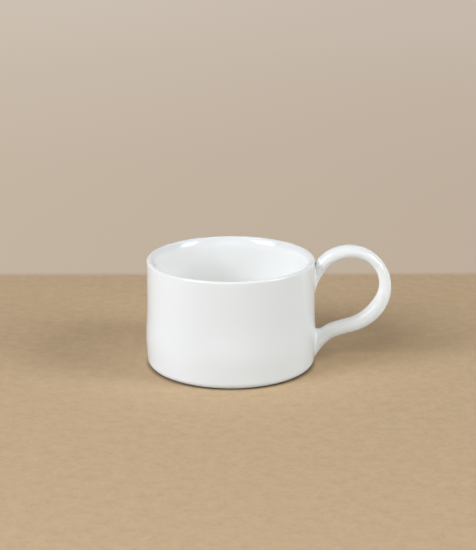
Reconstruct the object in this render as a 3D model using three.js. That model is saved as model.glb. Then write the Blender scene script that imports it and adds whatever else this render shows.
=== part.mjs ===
// Espresso cup with a large looped handle, in glazed white porcelain.
//
// It is put together as such a cup is made: a cast cup body, a handle drawn as one rod, and
// two luted joints, where soft clay flares the ends of the rod out onto the wall.
// Millimetres, +Z up. The origin is on the cup's axis, in the plane that it stands on, and
// the handle points along +X.

import * as THREE from "three";

// Cup body
const CUP_HEIGHT = 42.5;
const RIM_DIAMETER = 65.5;
const BELLY_DIAMETER = 66.8;
const BELLY_HEIGHT = 11.3;
const BELLY_SPREAD = 8; // height over which the belly fades into the straight wall
const WALL_THICKNESS = 3.05;
const LIP_OUTER_RADIUS = 0.85; // the rest of the wall is the lip's softer inner round
const FLOOR_THICKNESS = 3;
const INNER_CORNER_RADIUS = 6;
const FOOT_EDGE_RADIUS = 2.6;
const FOOT_RING_WIDTH = 2.4;
const FOOT_RECESS_DEPTH = 0.5;

// Handle, along the centreline of its rod
const LOOP_RADIUS = 13.95;
const LOOP_SINK = 0.35; // how far the loop's circle, carried on, would cut into the wall
const LOOP_DROP = 11.37; // from the rim down to the loop's centre
const HEEL_RADIUS = 19.3; // of the wider bend under the loop
const HEEL_START_ANGLE = -27; // degrees round the loop, 0 at the side away from the cup
const HEEL_END_ANGLE = -62.2;
const ARM_TENSION = 0.36; // share of the lower arm's span that keeps each end's direction

// Thickness of the rod in the loop's plane, at even steps from its upper end to its lower end
const UPPER_END_THICKNESS = 5.3;
const CROWN_THICKNESS = 5.3;
const SHOULDER_THICKNESS = 4.5;
const SIDE_THICKNESS = 4.75;
const HEEL_THICKNESS = 6.15;
const ARM_THICKNESS = 5.85;
const LOWER_END_THICKNESS = 5.7;
const HANDLE_WIDTH = 6.4; // across the loop's plane, all along

// Luted joints
const UPPER_JOINT_REACH = 1.55; // from the wall to the near side of the rod, where the joint takes over
const UPPER_JOINT_TOP_DROP = 2; // from the rim down to the joint's top edge
const UPPER_JOINT_HEIGHT = 14; // of its print on the wall
const LOWER_JOINT_REACH = 4.1; // from the wall to the middle of the rod, where the joint takes over
const LOWER_JOINT_RISE = 11.55; // height of that place above the foot
const LOWER_JOINT_SLOPE = 35.7; // degrees, of the rod there as it comes down to the wall
const LOWER_JOINT_BOTTOM = 1.1; // from the foot up to the joint's lower edge
const LOWER_JOINT_HEIGHT = 12.8;
const JOINT_SPREAD = 1.6; // how far a print spreads past each side of the rod
const FLARE_TENSION = 0.3; // share of a flare's span that keeps each end's direction
const JOINT_EDGE = 0.25; // blunt edge where a flare runs out on the wall
const JOINT_GAP = 0.3; // room for slip between two pieces

// Fineness of the round forms
const ROUND_SEGMENTS = 64;
const WALL_STEPS = 9;
const CORNER_STEPS = 5;
const LIP_STEPS = 4; // over each side of the lip
const ROD_SIDES = 20;
const ROD_STEPS = 42;
const FLARE_STEPS = 8;
const PRINT_RINGS = 3;

const radians = THREE.MathUtils.degToRad;
const PLANE_NORMAL = new THREE.Vector3(0, 1, 0);
const DIRECTION_STEP = 0.02; // share of a print, short enough to give a direction along the wall

function porcelain() {
  return new THREE.MeshStandardMaterial({ color: 0xf2f2ef, roughness: 0.12, metalness: 0 });
}

// Radius of the outer wall, before its lower edge is rounded
function wallRadius(height) {
  const away = (height - BELLY_HEIGHT) / BELLY_SPREAD;
  return (RIM_DIAMETER + (BELLY_DIAMETER - RIM_DIAMETER) * Math.exp(-away * away)) / 2;
}

// How fast that radius grows with height
function wallSlope(height) {
  const bulge = wallRadius(height) - RIM_DIAMETER / 2;
  return (2 * bulge * (BELLY_HEIGHT - height)) / BELLY_SPREAD ** 2;
}

// The rounded lower edge: its lean where it runs into the wall, its top and its centre's radius
function footEdge() {
  const lean = Math.atan(wallSlope(FOOT_EDGE_RADIUS));
  const top = FOOT_EDGE_RADIUS * (1 - Math.sin(lean));
  return { lean, top, centre: wallRadius(top) - FOOT_EDGE_RADIUS * Math.cos(lean) };
}

const FOOT_EDGE = footEdge();

// Radius of the finished outside at any height above the foot
function outerRadius(height) {
  if (height >= FOOT_EDGE.top) {
    return wallRadius(height);
  }
  const below = FOOT_EDGE_RADIUS - height;
  return FOOT_EDGE.centre + Math.sqrt(FOOT_EDGE_RADIUS ** 2 - below ** 2);
}

function arc(x, y, radius, from, to) {
  return new THREE.EllipseCurve(x, y, radius, radius, from, to, to < from);
}

// Points of a wall between two heights, without its ends, which the arcs beside it hold
function wallPoints(radiusAt, from, to) {
  const points = [];
  for (let step = 1; step < WALL_STEPS; step++) {
    const height = THREE.MathUtils.lerp(from, to, step / WALL_STEPS);
    points.push(new THREE.Vector2(radiusAt(height), height));
  }
  return points;
}

function cupBody() {
  const lipInnerRadius = WALL_THICKNESS - LIP_OUTER_RADIUS;
  const lipHeight = CUP_HEIGHT - LIP_OUTER_RADIUS;
  const lipInnerHeight = CUP_HEIGHT - lipInnerRadius;
  const crest = outerRadius(CUP_HEIGHT) - LIP_OUTER_RADIUS;
  const floorHeight = FOOT_RECESS_DEPTH + FLOOR_THICKNESS;
  const cornerHeight = floorHeight + INNER_CORNER_RADIUS;
  const ringInside = FOOT_EDGE.centre - FOOT_RING_WIDTH;
  const innerRadius = (height) => outerRadius(height) - WALL_THICKNESS;
  const cornerCentre = innerRadius(cornerHeight) - INNER_CORNER_RADIUS;
  const foot = arc(FOOT_EDGE.centre, FOOT_EDGE_RADIUS, FOOT_EDGE_RADIUS, -Math.PI / 2, -FOOT_EDGE.lean);
  const lipOutside = arc(crest, lipHeight, LIP_OUTER_RADIUS, 0, Math.PI / 2);
  const lipInside = arc(crest, lipInnerHeight, lipInnerRadius, Math.PI / 2, Math.PI);
  const corner = arc(cornerCentre, cornerHeight, INNER_CORNER_RADIUS, 0, -Math.PI / 2);
  const profile = [
    new THREE.Vector2(0, FOOT_RECESS_DEPTH),
    new THREE.Vector2(ringInside - FOOT_RECESS_DEPTH, FOOT_RECESS_DEPTH),
    new THREE.Vector2(ringInside, 0),
    ...foot.getPoints(CORNER_STEPS),
    ...wallPoints(outerRadius, FOOT_EDGE.top, lipHeight),
    ...lipOutside.getPoints(LIP_STEPS),
    ...lipInside.getPoints(LIP_STEPS).slice(1),
    ...wallPoints(innerRadius, lipInnerHeight, cornerHeight),
    ...corner.getPoints(CORNER_STEPS),
    new THREE.Vector2(0, floorHeight),
  ];
  return new THREE.LatheGeometry(profile, ROUND_SEGMENTS).rotateX(Math.PI / 2);
}

function heading(angle) {
  return new THREE.Vector2(Math.cos(angle), Math.sin(angle));
}

// Centreline of the rod in the loop's plane, from the upper joint to the lower one
function handlePath() {
  const loopHeight = CUP_HEIGHT - LOOP_DROP;
  const loopReach = LOOP_RADIUS - LOOP_SINK;
  const loopCentre = new THREE.Vector2(outerRadius(loopHeight) + loopReach, loopHeight);
  const loopStart = Math.acos((UPPER_JOINT_REACH - loopReach) / (LOOP_RADIUS + UPPER_END_THICKNESS / 2));
  const heelStart = radians(HEEL_START_ANGLE);
  const heelEnd = radians(HEEL_END_ANGLE);
  const heelCentre = loopCentre.clone().addScaledVector(heading(heelStart), LOOP_RADIUS - HEEL_RADIUS);
  const loop = arc(loopCentre.x, loopCentre.y, LOOP_RADIUS, loopStart, heelStart);
  const heel = arc(heelCentre.x, heelCentre.y, HEEL_RADIUS, heelStart, heelEnd);
  const armStart = heel.getPoint(1);
  const armEnd = new THREE.Vector2(outerRadius(LOWER_JOINT_RISE) + LOWER_JOINT_REACH, LOWER_JOINT_RISE);
  const hold = armStart.distanceTo(armEnd) * ARM_TENSION;
  const leave = armStart.clone().addScaledVector(heading(heelEnd - Math.PI / 2), hold);
  const arrive = armEnd.clone().addScaledVector(heading(radians(LOWER_JOINT_SLOPE)), hold);
  const path = new THREE.CurvePath();
  path.add(loop);
  path.add(heel);
  path.add(new THREE.CubicBezierCurve(armStart, leave, arrive, armEnd));
  return path;
}

const PATH = handlePath();

// Thickness of the rod at a share of its length
function rodThickness(share) {
  const thicknesses = [
    UPPER_END_THICKNESS,
    CROWN_THICKNESS,
    SHOULDER_THICKNESS,
    SIDE_THICKNESS,
    HEEL_THICKNESS,
    ARM_THICKNESS,
    LOWER_END_THICKNESS,
  ];
  const spline = new THREE.SplineCurve(thicknesses.map((thickness) => new THREE.Vector2(0, thickness)));
  return spline.getPoint(share).y;
}

// One station of the rod: its centre, its direction and its ring, which starts on the loop's outside
function rodStation(share) {
  const place = PATH.getPoint(share);
  const run = PATH.getTangent(share);
  const centre = new THREE.Vector3(place.x, 0, place.y);
  const direction = new THREE.Vector3(run.x, 0, run.y);
  const outwards = new THREE.Vector3(-run.y, 0, run.x);
  const halfThickness = rodThickness(share) / 2;
  const ring = [];
  for (let side = 0; side < ROD_SIDES; side++) {
    const turn = (side / ROD_SIDES) * 2 * Math.PI;
    const point = centre.clone().addScaledVector(outwards, halfThickness * Math.cos(turn));
    ring.push(point.addScaledVector(PLANE_NORMAL, (HANDLE_WIDTH / 2) * Math.sin(turn)));
  }
  return { centre, direction, ring };
}

// Joins rings with equal counts of points into one closed body, with a fan to a centre at each end
function loft(rings, firstCentre, lastCentre) {
  const count = rings[0].length;
  const points = [...rings.flat(), firstCentre, lastCentre];
  const first = points.length - 2;
  const last = points.length - 1;
  const lastRing = (rings.length - 1) * count;
  const triangles = [];
  for (let side = 0; side < count; side++) {
    const next = (side + 1) % count;
    for (let base = 0; base < lastRing; base += count) {
      triangles.push(base + side, base + count + side, base + next);
      triangles.push(base + next, base + count + side, base + count + next);
    }
    triangles.push(first, side, next);
    triangles.push(last, lastRing + next, lastRing + side);
  }
  const geometry = new THREE.BufferGeometry().setFromPoints(points);
  geometry.setIndex(triangles);
  geometry.computeVertexNormals();
  return geometry;
}

function handleRod() {
  const trim = JOINT_GAP / PATH.getLength();
  const stations = [];
  for (let step = 0; step <= ROD_STEPS; step++) {
    stations.push(rodStation(THREE.MathUtils.lerp(trim, 1 - trim, step / ROD_STEPS)));
  }
  return loft(stations.map((station) => station.ring), stations[0].centre, stations[ROD_STEPS].centre);
}

// A point on the wall, at a distance round it from the handle's plane and a height
function onWall(round, height, proud) {
  const turn = round / outerRadius(height);
  const radius = outerRadius(height) + proud;
  return new THREE.Vector3(radius * Math.cos(turn), radius * Math.sin(turn), height);
}

// The flare from the end of the rod to an oval print on the wall. The side of the rod that faces
// out of the loop lands at the print's outer edge, and the other side at its inner edge.
function lutedJoint(station, towardsWall, outerEdge, innerEdge) {
  const middle = (outerEdge + innerEdge) / 2;
  const halfHeight = (outerEdge - innerEdge) / 2;
  const halfWidth = HANDLE_WIDTH / 2 + JOINT_SPREAD;
  const printPoint = (turn, share, proud) =>
    onWall(halfWidth * share * Math.sin(turn), middle + halfHeight * share * Math.cos(turn), proud);
  const turns = station.ring.map((point, side) => (side / ROD_SIDES) * 2 * Math.PI);
  const flares = turns.map((turn, side) => {
    const start = station.ring[side];
    const end = printPoint(turn, 1, JOINT_GAP + JOINT_EDGE);
    const justInside = printPoint(turn, 1 - DIRECTION_STEP, JOINT_GAP + JOINT_EDGE);
    const alongWall = end.clone().sub(justInside).normalize();
    const hold = start.distanceTo(end) * FLARE_TENSION;
    const leave = start.clone().addScaledVector(towardsWall, hold);
    const land = end.clone().addScaledVector(alongWall, -hold);
    return new THREE.CubicBezierCurve3(start, leave, land, end).getPoints(FLARE_STEPS);
  });
  const rings = [];
  for (let step = 0; step <= FLARE_STEPS; step++) {
    rings.push(flares.map((flare) => flare[step]));
  }
  for (let ring = PRINT_RINGS; ring > 0; ring--) {
    rings.push(turns.map((turn) => printPoint(turn, ring / PRINT_RINGS, JOINT_GAP)));
  }
  return { rings, rodCentre: station.centre, wallCentre: onWall(0, middle, JOINT_GAP) };
}

function upperJoint() {
  const station = rodStation(0);
  const towardsWall = station.direction.clone().negate();
  const top = CUP_HEIGHT - UPPER_JOINT_TOP_DROP;
  const joint = lutedJoint(station, towardsWall, top, top - UPPER_JOINT_HEIGHT);
  return loft(joint.rings.reverse(), joint.wallCentre, joint.rodCentre);
}

function lowerJoint() {
  const station = rodStation(1);
  const top = LOWER_JOINT_BOTTOM + LOWER_JOINT_HEIGHT;
  const joint = lutedJoint(station, station.direction, LOWER_JOINT_BOTTOM, top);
  return loft(joint.rings, joint.rodCentre, joint.wallCentre);
}

function piece(name, geometry) {
  const mesh = new THREE.Mesh(geometry, porcelain());
  mesh.name = name;
  return mesh;
}

const cup = new THREE.Group();
cup.add(piece("cup_body", cupBody()));
cup.add(piece("handle", handleRod()));
cup.add(piece("upper_joint", upperJoint()));
cup.add(piece("lower_joint", lowerJoint()));

export default cup;
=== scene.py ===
"""An espresso cup with a large looped handle, in glazed white porcelain.

Laid out as an add-on: an operator for each piece or pair of like pieces, and one for the stage.
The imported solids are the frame, and each modelled piece stands in for one of them at its place.
"""

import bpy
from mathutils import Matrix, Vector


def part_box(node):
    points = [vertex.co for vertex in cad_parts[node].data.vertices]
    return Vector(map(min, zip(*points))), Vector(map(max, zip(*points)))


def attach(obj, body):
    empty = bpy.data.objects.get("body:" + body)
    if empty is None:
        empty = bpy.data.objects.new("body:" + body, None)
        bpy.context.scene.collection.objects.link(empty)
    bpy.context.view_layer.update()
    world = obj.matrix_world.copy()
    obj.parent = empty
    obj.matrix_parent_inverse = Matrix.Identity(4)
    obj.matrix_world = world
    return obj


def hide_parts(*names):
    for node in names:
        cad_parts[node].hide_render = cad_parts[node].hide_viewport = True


bl_info = {
    "name": "Espresso Cup",
    "version": (1, 0, 0),
    "blender": (4, 5, 0),
    "location": "3D View > Sidebar > Espresso Cup",
    "description": "Models a glazed espresso cup with a looped handle, and the stage it stands on",
    "category": "Add Mesh",
}

import math

import bmesh
import bpy
from mathutils import Matrix, Vector, geometry

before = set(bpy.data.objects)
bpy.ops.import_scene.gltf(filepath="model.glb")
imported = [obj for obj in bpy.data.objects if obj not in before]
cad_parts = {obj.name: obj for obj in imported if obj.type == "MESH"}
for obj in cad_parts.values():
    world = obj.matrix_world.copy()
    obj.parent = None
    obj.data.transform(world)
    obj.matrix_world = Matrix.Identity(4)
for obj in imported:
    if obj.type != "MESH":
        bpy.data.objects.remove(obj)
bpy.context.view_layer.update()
BODY_LOW, BODY_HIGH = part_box("cup_body")
HANDLE_LOW, HANDLE_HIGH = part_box("handle")

MM = 0.001
FULL_TURN = 2 * math.pi
LIT_THROUGH = "lit_through"  # attribute: 1 where light passes through a piece, 0 at its joints
LIT_THROUGH_FADE = 4 * MM

# Fineness of the meshes
ROUND_STEPS = 256
ARC_STEPS = 14
WALL_STEPS = 36
FLAT_STEPS = 6
ROD_SIDES = 72
ROD_STEPS = 300
ARM_SAMPLES = 400
FLARE_STEPS = 48
SHARP_ANGLE = math.radians(40)
SAME_POINT = 0.0001 * MM
DIRECTION_STEP = 0.002  # share of a print, short enough to give a direction along the wall

# Finish of the glaze
CLOUD_SIZE = 18 * MM
CLOUD_DETAIL = 3
CLOUD_SHARE = 0.5  # of the pooled tone, at most, in a cloud
CLOUD_GLOSS = 0.02  # change of the roughness from cloud to cloud
RIPPLE_DETAIL = 1.5
# Painted shade: the top and inner round of the lip are coloured darker than the rest of the glaze
LIP_SHADE_IN = (1.2 * MM, 2.2 * MM)  # from the outer wall: where the painted shade on the lip starts and is full
LIP_SHADE_DOWN = (2.6 * MM, 1.2 * MM)  # from the rim: where the painted shade on the lip has ended and is full
LIP_SHADE_SHARE = 0.5
GLAZE_EDGE = (0.08 * MM, 0.25 * MM)  # above the foot: where the glaze starts and is full
INSIDE_LIGHT_EDGE = MM  # width over which the painted light inside the bowl starts
GLAZE_IOR = 1.52
LIGHT_SPREAD = (1, 0.97, 0.93)  # of red, green and blue light in the rod, as shares of its depth

# Finish of the floor and the room
GRAIN_SIZE = 5 * MM
GRAIN_DETAIL = 3
GRAIN_ROUGHNESS = 0.9
GRAIN_CONTRAST = 0.2
FLOOR_ROUGHNESS = 0.9
FLOOR_GLOSS = 0.1
BACKDROP_HALF_WIDTH = 2  # in seam distances, to the place of each side colour
PALE_DEPTH = 10  # in seam distances, to the place where the backdrop is palest
PALE_SHARE = 0.25
WALL_EDGE = 0.5  # sine of the turn over which the wall comes up at each side


# Settings that a user may change


def length(name, description, metres):
    return bpy.props.FloatProperty(
        name=name, description=description, default=metres, min=0, precision=5, unit="LENGTH"
    )


def angle(name, description, degrees):
    return bpy.props.FloatProperty(
        name=name, description=description, default=math.radians(degrees), subtype="ANGLE"
    )


def share(name, description, value):
    return bpy.props.FloatProperty(
        name=name, description=description, default=value, min=0, max=1, subtype="FACTOR"
    )


def colour(name, description, value):
    return bpy.props.FloatVectorProperty(
        name=name, description=description, default=value, min=0, max=1, size=3, subtype="COLOR"
    )


def extent(name, description, metres):
    return bpy.props.FloatVectorProperty(
        name=name, description=description, default=metres, min=0, size=2, unit="LENGTH"
    )


def power(name, description, watts):
    return bpy.props.FloatProperty(
        name=name, description=description, default=watts, min=0, unit="POWER"
    )


class CupBodySizes(bpy.types.PropertyGroup):
    """Sizes of the cast cup body"""

    height: length("Height", "From the foot to the rim", BODY_HIGH.z)
    rim_diameter: length("Rim diameter", "Across the straight upper wall", 65.5 * MM)
    belly_diameter: length("Belly diameter", "Across the widest place", BODY_HIGH.y - BODY_LOW.y)
    belly_height: length("Belly height", "Height of the widest place", 11.3 * MM)
    belly_spread: length("Belly spread", "Height over which the belly fades out", 8 * MM)
    wall: length("Wall", "Thickness of the wall", 3.05 * MM)
    lip_outer_radius: length("Lip outer radius", "Outer round of the lip", 0.85 * MM)
    lip_inner_drop: length("Lip inner drop", "Height of the oval inner side of the lip", 4.6 * MM)
    floor: length("Floor", "Thickness of the floor", 3 * MM)
    inner_corner_radius: length("Inner corner radius", "Round between wall and floor", 6 * MM)
    foot_edge_radius: length("Foot edge radius", "Round of the lower edge", 2.6 * MM)
    foot_ring_width: length("Foot ring width", "Width of the ring it stands on", 2.4 * MM)
    foot_recess_depth: length("Foot recess depth", "Depth of the recess in the ring", 0.5 * MM)


class HandleSizes(bpy.types.PropertyGroup):
    """Sizes of the handle's rod, along its centreline"""

    loop_radius: length("Loop radius", "Radius of the loop", 13.95 * MM)
    loop_sink: length("Loop sink", "How far the loop's circle would cut into the wall", 0.35 * MM)
    loop_drop: length("Loop drop", "From the rim down to the loop's centre", 11.37 * MM)
    heel_radius: length("Heel radius", "Radius of the wider bend under the loop", 19.3 * MM)
    heel_start: angle("Heel start", "Where the heel starts, round the loop", -27)
    heel_end: angle("Heel end", "Where the heel ends, round its own centre", -62.2)
    arm_tension: share("Arm tension", "Share of the arm's span that keeps its direction", 0.36)
    width: length("Width", "Across the loop's plane", HANDLE_HIGH.y - HANDLE_LOW.y)
    thickness: bpy.props.FloatVectorProperty(
        name="Thickness",
        description="In the loop's plane, at even steps from the upper end to the lower end",
        default=[size * MM for size in (5.3, 5.3, 4.5, 4.75, 6.15, 5.85, 5.7)],
        size=7,
        precision=5,
        unit="LENGTH",
    )


class JointSizes(bpy.types.PropertyGroup):
    """Sizes of the luted joints, where the rod's ends flare out onto the wall"""

    upper_reach: length("Upper reach", "From the wall to the near side of the rod", 1.55 * MM)
    upper_top_drop: length("Upper top drop", "From the rim down to the print's top", 2 * MM)
    upper_height: length("Upper height", "Height of the upper print on the wall", 14 * MM)
    lower_reach: length("Lower reach", "From the wall to the middle of the rod", 4.1 * MM)
    lower_rise: length("Lower rise", "Height of the rod's lower end", 11.55 * MM)
    lower_slope: angle("Lower slope", "Slope of the rod at its lower end", 35.7)
    lower_bottom: length("Lower bottom", "From the foot up to the lower print", 1.1 * MM)
    lower_height: length("Lower height", "Height of the lower print on the wall", 12.8 * MM)
    spread: length("Spread", "How far a print spreads past each side of the rod", 1.6 * MM)
    flare_tension: share("Flare tension", "Share of a flare's span that keeps its direction", 0.3)
    root_depth: length("Root depth", "How far a joint is keyed into the wall", 0.3 * MM)


class GlazeLook(bpy.types.PropertyGroup):
    """Colours and gloss of the glazed porcelain"""

    white: colour("White", "Porcelain under its clear glaze", (0.88, 0.885, 0.88))
    # Painted light: the inside of the bowl is coloured lighter than the outside
    painted_light_inside: colour("Inner white", "The poured glaze inside", (0.92, 0.915, 0.895))
    # Painted shade: a darker colour on the top and inner round of the lip
    painted_lip_shade: colour("Thin glaze", "Where it runs thin inside the lip", (0.79, 0.785, 0.765))
    pooled_white: colour("Pooled glaze", "Where the glaze gathers", (0.84, 0.86, 0.855))
    bare_clay: colour("Bare clay", "The unglazed ring of the foot", (0.72, 0.7, 0.66))
    roughness: share("Roughness", "Of the glaze", 0.04)
    clay_roughness: share("Clay roughness", "Of the unglazed ring", 0.65)
    light_depth: length("Light depth", "How far light spreads inside the rod", 5 * MM)
    ripple: length("Ripple", "Height of the glaze's soft waves", 0.012 * MM)
    ripple_width: length("Ripple width", "Width of the glaze's soft waves", 9 * MM)


class StageLook(bpy.types.PropertyGroup):
    """Floor, backdrop and light"""

    floor_size: length("Floor size", "Side of the floor", 6)
    sand: colour("Sand", "Floor round the cup", (0.575, 0.413, 0.254))
    # Painted shadow: a dark floor colour in the narrow gap under the cup's edge, where the floor is
    # shaded
    painted_contact_shadow: colour("Contact", "Floor in the narrow gap under the cup's edge", (0.09, 0.06, 0.035))
    painted_shadow_reach: length("Contact reach", "How far that dark line spreads", 1.8 * MM)
    bounce: colour("Bounce", "Light that the floor throws back onto the cup", (0.6, 0.55, 0.48))
    far_left: colour("Far left", "Backdrop behind the cup, on the left", (0.558, 0.462, 0.366))
    far_right: colour("Far right", "Backdrop behind the cup, on the right", (0.515, 0.418, 0.33))
    # the backdrop is paler further back, higher up in the view
    far_pale: colour("Haze", "What the backdrop fades towards, high up", (0.75, 0.72, 0.68))
    seam_distance: length("Seam distance", "From the cup back to the backdrop", 120 * MM)
    seam_blur: length("Seam blur", "Width of the blend between floor and backdrop", 9 * MM)
    wall: colour("Wall", "Pale wall that rises behind the cup", (0.9, 0.8, 0.7))
    wall_rise: angle("Wall rise", "Height at which the wall fades into the dark room", 65)
    room: colour("Room", "The dark room all round", (0.03, 0.03, 0.03))
    key_power: power("Key power", "Of the large softbox on the left", 11.7)
    key_colour: colour("Key colour", "Of the large softbox on the left", (0.87, 0.922, 1))
    key_size: extent("Key size", "Width and height of the left softbox", (0.6, 0.65))
    key_turn: angle("Key turn", "Of the left softbox, from the camera's side", -57)
    key_rise: angle("Key rise", "Of the left softbox, above the floor", 33)
    fill_power: power("Fill power", "Of the softbox on the right", 8.9)
    fill_colour: colour("Fill colour", "Of the softbox on the right", (0.9, 0.957, 1))
    fill_size: extent("Fill size", "Width and height of the right softbox", (0.5, 0.75))
    fill_turn: angle("Fill turn", "Of the right softbox, from the camera's side", 70)
    fill_rise: angle("Fill rise", "Of the right softbox, above the floor", 29)
    front_power: power("Front power", "Of the panel above the camera", 10.8)
    front_colour: colour("Front colour", "Of the panel above the camera", (1, 0.962, 0.885))
    front_size: extent("Front size", "Width and height of the panel above the camera", (0.95, 0.75))
    front_turn: angle("Front turn", "Of the panel above the camera, from its side", -18)
    front_rise: angle("Front rise", "Of the panel above the camera, above the floor", 38)
    box_distance: length("Softbox distance", "From the cup to the left and right softboxes", 1.2)
    panel_distance: length("Panel distance", "From the cup to the panel above the camera", 2.2)


class CupSettings(bpy.types.PropertyGroup):
    """All settings of the cup and its stage"""

    body: bpy.props.PointerProperty(type=CupBodySizes)
    handle: bpy.props.PointerProperty(type=HandleSizes)
    joints: bpy.props.PointerProperty(type=JointSizes)
    glaze: bpy.props.PointerProperty(type=GlazeLook)
    stage: bpy.props.PointerProperty(type=StageLook)


# Outline of the cup body


def wall_radius(body, height):
    """Radius of the outer wall, before its lower edge is rounded."""
    away = (height - body.belly_height) / body.belly_spread
    return (body.rim_diameter + (body.belly_diameter - body.rim_diameter) * math.exp(-away * away)) / 2


def wall_slope(body, height):
    """How fast that radius grows with height."""
    bulge = wall_radius(body, height) - body.rim_diameter / 2
    return 2 * bulge * (body.belly_height - height) / body.belly_spread**2


def foot_edge(body):
    """The rounded lower edge: its lean where it meets the wall, its top and its centre's radius."""
    lean = math.atan(wall_slope(body, body.foot_edge_radius))
    top = body.foot_edge_radius * (1 - math.sin(lean))
    return lean, top, wall_radius(body, top) - body.foot_edge_radius * math.cos(lean)


def outer_radius(body, height):
    """Radius of the finished outside at any height above the foot."""
    _, top, centre = foot_edge(body)
    if height >= top:
        return wall_radius(body, height)
    below = body.foot_edge_radius - height
    return centre + math.sqrt(body.foot_edge_radius**2 - below**2)


def mix(start, end, part):
    return start + (end - start) * part


def arc(x, y, radius, start, end, rise=None):
    """Points of a round stretch of an outline, both ends included. A rise of its own makes it oval."""
    rise = radius if rise is None else rise
    turns = [mix(start, end, step / ARC_STEPS) for step in range(ARC_STEPS + 1)]
    return [(x + radius * math.cos(turn), y + rise * math.sin(turn)) for turn in turns]


def wall_points(radius_at, start, end):
    """Points of a wall between two heights, without its ends, which the arcs beside it hold."""
    heights = [mix(start, end, step / WALL_STEPS) for step in range(1, WALL_STEPS)]
    return [(radius_at(height), height) for height in heights]


def flat_points(start, end, height):
    """Points of a level stretch between two radii, both ends included."""
    return [(mix(start, end, step / FLAT_STEPS), height) for step in range(FLAT_STEPS + 1)]


def cup_outline(body):
    """Radius and height of each point, from under the floor round the lip to the floor inside."""
    lean, edge_top, edge_centre = foot_edge(body)
    lip_inner_width = body.wall - body.lip_outer_radius
    lip_height = body.height - body.lip_outer_radius
    lip_inner_height = body.height - body.lip_inner_drop
    crest = outer_radius(body, body.height) - body.lip_outer_radius
    floor_height = body.foot_recess_depth + body.floor
    corner_height = floor_height + body.inner_corner_radius
    corner_centre = outer_radius(body, corner_height) - body.wall - body.inner_corner_radius
    ring_inside = edge_centre - body.foot_ring_width
    quarter = math.pi / 2
    return [
        *flat_points(0, ring_inside - body.foot_recess_depth, body.foot_recess_depth),
        (ring_inside, 0),
        *arc(edge_centre, body.foot_edge_radius, body.foot_edge_radius, -quarter, -lean),
        *wall_points(lambda height: outer_radius(body, height), edge_top, lip_height),
        *arc(crest, lip_height, body.lip_outer_radius, 0, quarter),
        *arc(crest, lip_inner_height, lip_inner_width, quarter, math.pi, body.lip_inner_drop)[1:],
        *wall_points(
            lambda height: outer_radius(body, height) - body.wall, lip_inner_height, corner_height
        ),
        *arc(corner_centre, corner_height, body.inner_corner_radius, 0, -quarter),
        *flat_points(corner_centre, 0, floor_height)[1:],
    ]


def spun(outline):
    """A closed body: the outline, spun a full turn about the upright axis."""
    bm = bmesh.new()
    points = [bm.verts.new((radius, 0, height)) for radius, height in outline]
    edges = [bm.edges.new(pair) for pair in zip(points, points[1:])]
    bmesh.ops.spin(
        bm,
        geom=points + edges,
        cent=(0, 0, 0),
        axis=(0, 0, 1),
        angle=FULL_TURN,
        steps=ROUND_STEPS,
        use_merge=True,
    )
    bmesh.ops.remove_doubles(bm, verts=bm.verts, dist=SAME_POINT)
    return bm


# Course of the handle's rod


def heading(turn):
    """Direction in the loop's plane, at a turn up from the outward one."""
    return Vector((math.cos(turn), 0, math.sin(turn)))


class RodPath:
    """Centreline of the rod in the loop's plane, from the upper joint to the lower one."""

    def __init__(self, cup):
        body, handle, joints = cup.body, cup.handle, cup.joints
        height = body.height - handle.loop_drop
        reach = handle.loop_radius - handle.loop_sink
        near_side = handle.loop_radius + handle.thickness[0] / 2
        self.loop_centre = Vector((outer_radius(body, height) + reach, 0, height))
        self.loop_radius = handle.loop_radius
        self.loop_start = math.acos((joints.upper_reach - reach) / near_side)
        self.heel_radius = handle.heel_radius
        self.heel_start = handle.heel_start
        self.heel_end = handle.heel_end
        self.heel_centre = self.loop_centre + heading(handle.heel_start) * (
            handle.loop_radius - handle.heel_radius
        )
        arm_start = self.heel_centre + heading(handle.heel_end) * handle.heel_radius
        arm_foot = outer_radius(body, joints.lower_rise) + joints.lower_reach
        arm_end = Vector((arm_foot, 0, joints.lower_rise))
        hold = (arm_end - arm_start).length * handle.arm_tension
        leave = arm_start + heading(handle.heel_end - math.pi / 2) * hold
        arrive = arm_end + heading(joints.lower_slope) * hold
        self.arm = geometry.interpolate_bezier(arm_start, leave, arrive, arm_end, ARM_SAMPLES)
        self.loop_length = (self.loop_start - self.heel_start) * self.loop_radius
        self.heel_length = (self.heel_start - self.heel_end) * self.heel_radius
        steps = [(end - start).length for start, end in zip(self.arm, self.arm[1:])]
        self.arm_lengths = [sum(steps[:count]) for count in range(len(self.arm))]
        self.length = self.loop_length + self.heel_length + self.arm_lengths[-1]

    def place(self, part):
        """Centre and direction at a share of the rod's length."""
        along = part * self.length
        if along <= self.loop_length:
            turn = self.loop_start - along / self.loop_radius
            return self.loop_centre + heading(turn) * self.loop_radius, heading(turn - math.pi / 2)
        along -= self.loop_length
        if along <= self.heel_length:
            turn = self.heel_start - along / self.heel_radius
            return self.heel_centre + heading(turn) * self.heel_radius, heading(turn - math.pi / 2)
        return self.arm_place(min(along - self.heel_length, self.arm_lengths[-1]))

    def arm_place(self, along):
        """Centre and direction at a length along the arm."""
        step = next(index for index, end in enumerate(self.arm_lengths[1:]) if along <= end)
        start, end = self.arm_lengths[step], self.arm_lengths[step + 1]
        run = self.arm[step + 1] - self.arm[step]
        before = self.arm[step] - self.arm[max(step - 1, 0)]
        after = self.arm[min(step + 2, ARM_SAMPLES - 1)] - self.arm[min(step + 1, ARM_SAMPLES - 2)]
        part = (along - start) / (end - start)
        direction = mix(before + run, run + after, part)
        return self.arm[step] + run * part, direction.normalized()


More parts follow.
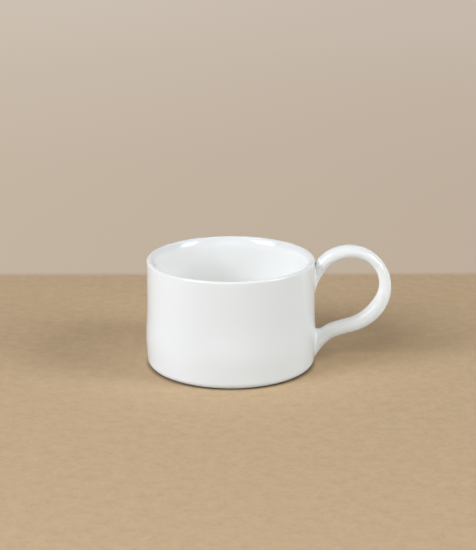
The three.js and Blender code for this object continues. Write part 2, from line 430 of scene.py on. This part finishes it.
def rod_thickness(handle, part):
    """Thickness at a share of the rod's length: a smooth curve through the given ones."""
    sizes = list(handle.thickness)
    last = len(sizes) - 1
    step = min(int(part * last), last - 1)
    part = part * last - step
    before, start, end, after = (sizes[min(max(step + shift, 0), last)] for shift in (-1, 0, 1, 2))
    leave, arrive = (end - before) / 2, (after - start) / 2
    turn = 2 * (start - end) + leave + arrive
    bend = 3 * (end - start) - 2 * leave - arrive
    return ((turn * part + bend) * part + leave) * part + start


def rod_section(cup, path, part):
    """Turns a unit circle into the rod's oval section: its Y axis points out of the loop."""
    centre, direction = path.place(part)
    outwards = Vector((-direction.z, 0, direction.x))
    across = Vector((0, -cup.handle.width / 2, 0))
    thick = outwards * rod_thickness(cup.handle, part) / 2
    section = Matrix((across, thick, direction)).transposed().to_4x4()
    section.translation = centre
    return section


# Mesh making


def first_ring(bm, section):
    """The rod's oval section at one place, as a ring of edges."""
    circle = bmesh.ops.create_circle(bm, segments=ROD_SIDES, radius=1)["verts"]
    bmesh.ops.transform(bm, matrix=section, verts=circle)
    return circle, list(bm.edges)


def next_ring(bm, edges):
    """Extrudes a ring of edges in place, and gives the new ring's points and edges."""
    made = bmesh.ops.extrude_edge_only(bm, edges=edges)["geom"]
    points = [item for item in made if isinstance(item, bmesh.types.BMVert)]
    fresh = set(points)
    lines = [item for item in made if isinstance(item, bmesh.types.BMEdge)]
    return points, [line for line in lines if fresh.issuperset(line.verts)]


def close_ring(bm, edges):
    bmesh.ops.contextual_create(bm, geom=edges)


def make_piece(bm, name, node):
    """Makes a closed mesh the glazed stand-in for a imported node."""
    bmesh.ops.recalc_face_normals(bm, faces=bm.faces)
    if not all(edge.is_manifold for edge in bm.edges):
        raise RuntimeError(f"{name} is not closed")
    mesh = bpy.data.meshes.new(name)
    bm.to_mesh(mesh)
    bm.free()
    mesh.shade_smooth()
    mesh.set_sharp_from_angle(angle=SHARP_ANGLE)
    mesh.materials.append(glazed_porcelain())
    piece = bpy.data.objects.new(name, mesh)
    bpy.context.scene.collection.objects.link(piece)
    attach(piece, "root")
    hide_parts(node)


def luted_joint(cup, section, towards_wall, outer_edge, inner_edge):
    """The flare from the rod's end to an oval print on the wall, keyed a little into it.

    The side of the rod that faces out of the loop lands at the print's outer edge, and the
    other side at its inner edge.
    """
    body, joints = cup.body, cup.joints
    middle = (outer_edge + inner_edge) / 2
    half_height = (outer_edge - inner_edge) / 2
    half_width = cup.handle.width / 2 + joints.spread

    def on_wall(turn, part, depth):
        height = middle + half_height * part * math.cos(turn)
        radius = outer_radius(body, height)
        round_wall = half_width * part * math.sin(turn) / radius
        across = radius - depth
        return Vector((across * math.cos(round_wall), across * math.sin(round_wall), height))

    def flare(start, turn):
        end = on_wall(turn, 1, 0)
        along_wall = (end - on_wall(turn, 1 - DIRECTION_STEP, 0)).normalized()
        hold = (end - start).length * joints.flare_tension
        leave, land = start + towards_wall * hold, end - along_wall * hold
        return geometry.interpolate_bezier(start, leave, land, end, FLARE_STEPS + 1)

    bm = bmesh.new()
    side_of = bm.verts.layers.int.new("side")
    circle, edges = first_ring(bm, section)
    for side, point in enumerate(circle):
        point[side_of] = side
    turns = [FULL_TURN * side / ROD_SIDES for side in range(ROD_SIDES)]
    flares = [flare(point.co.copy(), turn) for point, turn in zip(circle, turns)]
    close_ring(bm, edges)
    for step in range(1, FLARE_STEPS + 1):
        points, edges = next_ring(bm, edges)
        for point in points:
            point.co = flares[point[side_of]][step]
    points, edges = next_ring(bm, edges)
    for point in points:
        point.co = on_wall(turns[point[side_of]], 1, joints.root_depth)
    close_ring(bm, edges)
    bm.verts.layers.int.remove(side_of)
    return bm


# Shading


class Wire:
    """An output socket. Arithmetic on it adds Math nodes, and node() adds any other kind."""

    def __init__(self, tree, socket=None):
        self.tree = tree
        self.socket = socket

    def node(self, kind, settings=None, sockets=None, output=0):
        """Adds a node, sets it up, fills its sockets with values or wires and gives an output."""
        made = self.tree.nodes.new(kind)
        for key, value in (settings or {}).items():
            setattr(made, key, value)
        for key, value in (sockets or {}).items():
            if isinstance(value, Wire):
                self.tree.links.new(value.socket, made.inputs[key])
            else:
                made.inputs[key].default_value = value
        return Wire(self.tree, made.outputs[output] if made.outputs else None)

    def math(self, operation, first, second):
        return self.node("ShaderNodeMath", {"operation": operation}, {0: first, 1: second})

    def __add__(self, other):
        return self.math("ADD", self, other)

    def __radd__(self, other):
        return self.math("ADD", other, self)

    def __sub__(self, other):
        return self.math("SUBTRACT", self, other)

    def __rsub__(self, other):
        return self.math("SUBTRACT", other, self)

    def __mul__(self, other):
        return self.math("MULTIPLY", self, other)

    def __rmul__(self, other):
        return self.math("MULTIPLY", other, self)

    def ramp(self, start, end):
        """From 0 to 1 as the value goes from start to end, eased at both ends."""
        sockets = {"Value": self, "From Min": start, "From Max": end}
        return self.node("ShaderNodeMapRange", {"interpolation_type": "SMOOTHSTEP"}, sockets)

    def axis(self, name):
        """One coordinate of a place or direction."""
        return self.node("ShaderNodeSeparateXYZ", sockets={"Vector": self}, output=name)

    def noise(self, size, detail, roughness=0.5):
        """Soft noise at a place, in lumps of about the given size."""
        sockets = {"Vector": self, "Scale": 1 / size, "Detail": detail, "Roughness": roughness}
        return self.node("ShaderNodeTexNoise", sockets=sockets)

    def blend(self, first, second):
        """A colour that goes from first to second as this value goes from 0 to 1."""
        sockets = {"Factor": self, 6: first, 7: second}
        return self.node("ShaderNodeMix", {"data_type": "RGBA"}, sockets, 2)


def opaque(rgb):
    return (*rgb, 1)


def new_material(name):
    """An empty material, and the wire that its nodes start from."""
    material = bpy.data.materials.new(name)
    material.use_nodes = True
    material.node_tree.nodes.clear()
    return material, Wire(material.node_tree)


def glazed_porcelain():
    """White porcelain under a clear glaze: pooled in clouds and wiped off the foot, with painted shade
    on the lip and painted light inside the bowl.
    """
    name = "glazed_porcelain"
    if name in bpy.data.materials:
        return bpy.data.materials[name]
    cup = bpy.context.scene.espresso_cup
    body, glaze = cup.body, cup.glaze
    material, start = new_material(name)
    place = start.node("ShaderNodeTexCoord", output="Object")
    height = place.axis("Z")
    cloud = place.noise(CLOUD_SIZE, CLOUD_DETAIL)
    waves = place.noise(glaze.ripple_width, RIPPLE_DETAIL)
    level = start.node("ShaderNodeVectorMath", {"operation": "MULTIPLY"}, {0: place, 1: (1, 1, 0)})
    from_axis = start.node("ShaderNodeVectorMath", {"operation": "LENGTH"}, {0: level}, "Value")
    wall = body.rim_diameter / 2
    # painted shade on the top and inner round of the lip
    within_lip = from_axis.ramp(*(wall - distance for distance in LIP_SHADE_IN))
    on_lip = within_lip * height.ramp(*(body.height - distance for distance in LIP_SHADE_DOWN))
    unglazed = 1 - height.ramp(*GLAZE_EDGE)
    inner_wall = wall - body.wall
    above_floor = height.ramp(body.foot_recess_depth, body.floor)
    # painted light: the inside of the bowl is coloured lighter than the outside
    inside = from_axis.ramp(inner_wall + INSIDE_LIGHT_EDGE, inner_wall) * above_floor
    outer = (cloud * CLOUD_SHARE).blend(opaque(glaze.white), opaque(glaze.pooled_white))
    toned = inside.blend(outer, opaque(glaze.painted_light_inside))
    lip_shaded = (on_lip * LIP_SHADE_SHARE).blend(toned, opaque(glaze.painted_lip_shade))
    colours = unglazed.blend(lip_shaded, opaque(glaze.bare_clay))
    gloss = cloud * CLOUD_GLOSS + (glaze.roughness - CLOUD_GLOSS / 2)
    roughness = gloss + unglazed * (glaze.clay_roughness - glaze.roughness)
    relief = start.node(
        "ShaderNodeBump",
        sockets={"Strength": 1, "Distance": glaze.ripple, "Height": waves},
    )
    sockets = {"Base Color": colours, "Roughness": roughness, "Normal": relief, "IOR": GLAZE_IOR}
    thick = start.node("ShaderNodeBsdfPrincipled", sockets=sockets)
    sockets |= {
        "Subsurface Weight": 1,
        "Subsurface Radius": LIGHT_SPREAD,
        "Subsurface Scale": glaze.light_depth,
    }
    thin = start.node("ShaderNodeBsdfPrincipled", sockets=sockets)
    lit_through = start.node("ShaderNodeAttribute", {"attribute_name": LIT_THROUGH}, output="Fac")
    shader = start.node("ShaderNodeMixShader", sockets={0: lit_through, 1: thick, 2: thin})
    start.node("ShaderNodeOutputMaterial", sockets={"Surface": shader})
    return material


def plain_floor(stage):
    """Matt sand-coloured floor in front of a plain backdrop, which takes no shadow. A painted shadow
    darkens the floor in the narrow gap under the cup's edge.
    """
    material, start = new_material("plain_floor")
    place = start.node("ShaderNodeTexCoord", output="Object")
    depth = place.axis("Y")
    rays = ("Is Camera Ray", "Is Glossy Ray", "Is Transmission Ray")
    direct, mirrored, through = (start.node("ShaderNodeLightPath", output=ray) for ray in rays)
    seen = start.math("MAXIMUM", start.math("MAXIMUM", direct, mirrored), through)
    grain = place.noise(GRAIN_SIZE, GRAIN_DETAIL, GRAIN_ROUGHNESS)
    half_blur = stage.seam_blur / 2
    behind = depth.ramp(stage.seam_distance - half_blur, stage.seam_distance + half_blur)
    darker = tuple((1 - GRAIN_CONTRAST) * part for part in stage.sand)
    lighter = tuple((1 + GRAIN_CONTRAST) * part for part in stage.sand)
    open_sand = grain.blend(opaque(darker), opaque(lighter))
    # painted shadow: the floor colour darkens where the cup's edge closes over it
    painted_contact_shadow = start.node(
        "ShaderNodeAmbientOcclusion", sockets={"Distance": stage.painted_shadow_reach}, output="AO"
    )
    sand = painted_contact_shadow.blend(opaque(stage.painted_contact_shadow), open_sand)
    shader = start.node(
        "ShaderNodeBsdfPrincipled",
        sockets={
            "Base Color": seen.blend(opaque(stage.bounce), sand),
            "Roughness": FLOOR_ROUGHNESS,
            "Specular IOR Level": FLOOR_GLOSS,
        },
    )
    half_width = stage.seam_distance * BACKDROP_HALF_WIDTH
    across = place.axis("X").ramp(-half_width, half_width)
    low = across.blend(opaque(stage.far_left), opaque(stage.far_right))
    # the backdrop grows paler further back
    raised = depth.ramp(stage.seam_distance, stage.seam_distance * PALE_DEPTH) * PALE_SHARE
    backdrop = start.node(
        "ShaderNodeEmission", sockets={"Color": raised.blend(low, opaque(stage.far_pale))}
    )
    both = start.node("ShaderNodeMixShader", sockets={0: behind * seen, 1: shader, 2: backdrop})
    start.node("ShaderNodeOutputMaterial", sockets={"Surface": both})
    return material


# Stage


VIEW_TARGET = Vector((0, 0, 21.285 * MM))
VIEW_DISTANCE = 620 * MM
VIEW_RISE = math.radians(18)
IMAGE_LONG_SIDE = 550  # pixels
FOCAL_PIXELS = 1577.8
TARGET_LEFT = 7.06  # pixels, of the target from the image's middle
TARGET_BELOW = 34.78
SENSOR = 36  # millimetres
NEAREST_SEEN = 10 * MM


def make_camera():
    camera = bpy.data.cameras.new("photo_camera")
    camera.sensor_width = SENSOR
    camera.lens = FOCAL_PIXELS * SENSOR / IMAGE_LONG_SIDE
    camera.clip_start = NEAREST_SEEN
    seen = bpy.data.objects.new("photo_camera", camera)
    back = Vector((0, -math.cos(VIEW_RISE), math.sin(VIEW_RISE)))
    seen.location = VIEW_TARGET + back * VIEW_DISTANCE
    tilt = math.pi / 2 - VIEW_RISE + math.atan2(TARGET_BELOW, FOCAL_PIXELS)
    turn = math.atan2(TARGET_LEFT, FOCAL_PIXELS * math.cos(VIEW_RISE))
    seen.rotation_euler = (tilt, 0, -turn)
    bpy.context.scene.collection.objects.link(seen)
    bpy.context.scene.camera = seen


def make_softbox(stage, kind, distance, mirrored=True):
    """A large softbox that faces the cup, with the settings of its kind, mirrored in gloss or not."""
    lamp = bpy.data.lights.new(f"{kind}_softbox", "AREA")
    lamp.shape = "RECTANGLE"
    lamp.size, lamp.size_y = getattr(stage, f"{kind}_size")
    lamp.energy = getattr(stage, f"{kind}_power")
    lamp.color = getattr(stage, f"{kind}_colour")
    turn, rise = getattr(stage, f"{kind}_turn"), getattr(stage, f"{kind}_rise")
    level = math.cos(rise)
    away = Vector((math.sin(turn) * level, -math.cos(turn) * level, math.sin(rise)))
    box = bpy.data.objects.new(lamp.name, lamp)
    box.location = VIEW_TARGET + away * distance
    box.rotation_euler = away.to_track_quat("Z", "Y").to_euler()
    box.visible_glossy = mirrored
    bpy.context.scene.collection.objects.link(box)


def make_room(stage):
    """Soft light from the pale wall behind the cup, in a dark room."""
    world = bpy.data.worlds.new("room")
    world.use_nodes = True
    world.node_tree.nodes.clear()
    start = Wire(world.node_tree)
    direction = start.node("ShaderNodeTexCoord", output="Generated")
    above_wall = direction.axis("Z").ramp(0, math.sin(stage.wall_rise))
    on_wall = direction.axis("Y").ramp(0, WALL_EDGE) * (1 - above_wall)
    light = start.node(
        "ShaderNodeBackground",
        sockets={"Color": on_wall.blend(opaque(stage.room), opaque(stage.wall))},
    )
    start.node("ShaderNodeOutputWorld", sockets={"Surface": light})
    bpy.context.scene.world = world


def make_floor(stage):
    bm = bmesh.new()
    bmesh.ops.create_grid(bm, x_segments=1, y_segments=1, size=stage.floor_size / 2)
    mesh = bpy.data.meshes.new("floor")
    bm.to_mesh(mesh)
    bm.free()
    mesh.materials.append(plain_floor(stage))
    floor = bpy.data.objects.new("floor", mesh)
    bpy.context.scene.collection.objects.link(floor)


# Operators


class CupBodyOperator(bpy.types.Operator):
    """Spins the cup body from its outline"""

    bl_idname = "espresso_cup.body"
    bl_label = "Cup Body"

    def execute(self, context):
        bm = spun(cup_outline(context.scene.espresso_cup.body))
        make_piece(bm, "glazed_cup_body", "cup_body")
        return {"FINISHED"}


class HandleOperator(bpy.types.Operator):
    """Draws the handle as one rod along its course"""

    bl_idname = "espresso_cup.handle"
    bl_label = "Handle"

    def execute(self, context):
        cup = context.scene.espresso_cup
        path = RodPath(cup)
        section = rod_section(cup, path, 0)
        bm = bmesh.new()
        lit_through = bm.verts.layers.float.new(LIT_THROUGH)
        _, edges = first_ring(bm, section)
        close_ring(bm, edges)
        for step in range(1, ROD_STEPS + 1):
            points, edges = next_ring(bm, edges)
            following = rod_section(cup, path, step / ROD_STEPS)
            bmesh.ops.transform(bm, matrix=following @ section.inverted(), verts=points)
            section = following
            from_end = min(step, ROD_STEPS - step) / ROD_STEPS * path.length
            for point in points:
                point[lit_through] = min(from_end / LIT_THROUGH_FADE, 1)
        close_ring(bm, edges)
        make_piece(bm, "glazed_handle", "handle")
        return {"FINISHED"}


class JointsOperator(bpy.types.Operator):
    """Flares both ends of the rod out onto the wall"""

    bl_idname = "espresso_cup.joints"
    bl_label = "Luted Joints"

    def execute(self, context):
        cup = context.scene.espresso_cup
        joints = cup.joints
        path = RodPath(cup)
        top = cup.body.height - joints.upper_top_drop
        towards_wall = -path.place(0)[1]
        upper = luted_joint(cup, rod_section(cup, path, 0), towards_wall, top, top - joints.upper_height)
        make_piece(upper, "glazed_upper_joint", "upper_joint")
        towards_wall = path.place(1)[1]
        inner_edge = joints.lower_bottom + joints.lower_height
        section = rod_section(cup, path, 1)
        lower = luted_joint(cup, section, towards_wall, joints.lower_bottom, inner_edge)
        make_piece(lower, "glazed_lower_joint", "lower_joint")
        return {"FINISHED"}


class StageOperator(bpy.types.Operator):
    """Sets up the floor, the light and the camera"""

    bl_idname = "espresso_cup.stage"
    bl_label = "Stage"

    def execute(self, context):
        stage = context.scene.espresso_cup.stage
        context.scene.view_settings.view_transform = "Standard"
        make_floor(stage)
        make_room(stage)
        make_softbox(stage, "key", stage.box_distance)
        make_softbox(stage, "fill", stage.box_distance)
        make_softbox(stage, "front", stage.panel_distance, mirrored=False)
        make_camera()
        return {"FINISHED"}


class CupPanel(bpy.types.Panel):
    """Lists the cup's settings and the operators that make it"""

    bl_idname = "VIEW3D_PT_espresso_cup"
    bl_label = "Espresso Cup"
    bl_space_type = "VIEW_3D"
    bl_region_type = "UI"
    bl_category = "Espresso Cup"

    def draw(self, context):
        cup = context.scene.espresso_cup
        for operator in OPERATORS:
            self.layout.operator(operator.bl_idname)
        for group in (cup.body, cup.handle, cup.joints, cup.glaze, cup.stage):
            box = self.layout.box()
            for key in group.__annotations__:
                box.prop(group, key)


SETTINGS = (CupBodySizes, HandleSizes, JointSizes, GlazeLook, StageLook, CupSettings)
OPERATORS = (CupBodyOperator, HandleOperator, JointsOperator, StageOperator)
CLASSES = (*SETTINGS, *OPERATORS, CupPanel)


def register():
    for cls in CLASSES:
        bpy.utils.register_class(cls)
    bpy.types.Scene.espresso_cup = bpy.props.PointerProperty(type=CupSettings)


def unregister():
    del bpy.types.Scene.espresso_cup
    for cls in reversed(CLASSES):
        bpy.utils.unregister_class(cls)


def main():
    register()
    bpy.ops.espresso_cup.body()
    bpy.ops.espresso_cup.handle()
    bpy.ops.espresso_cup.joints()
    bpy.ops.espresso_cup.stage()


if __name__ == "__main__":
    main()
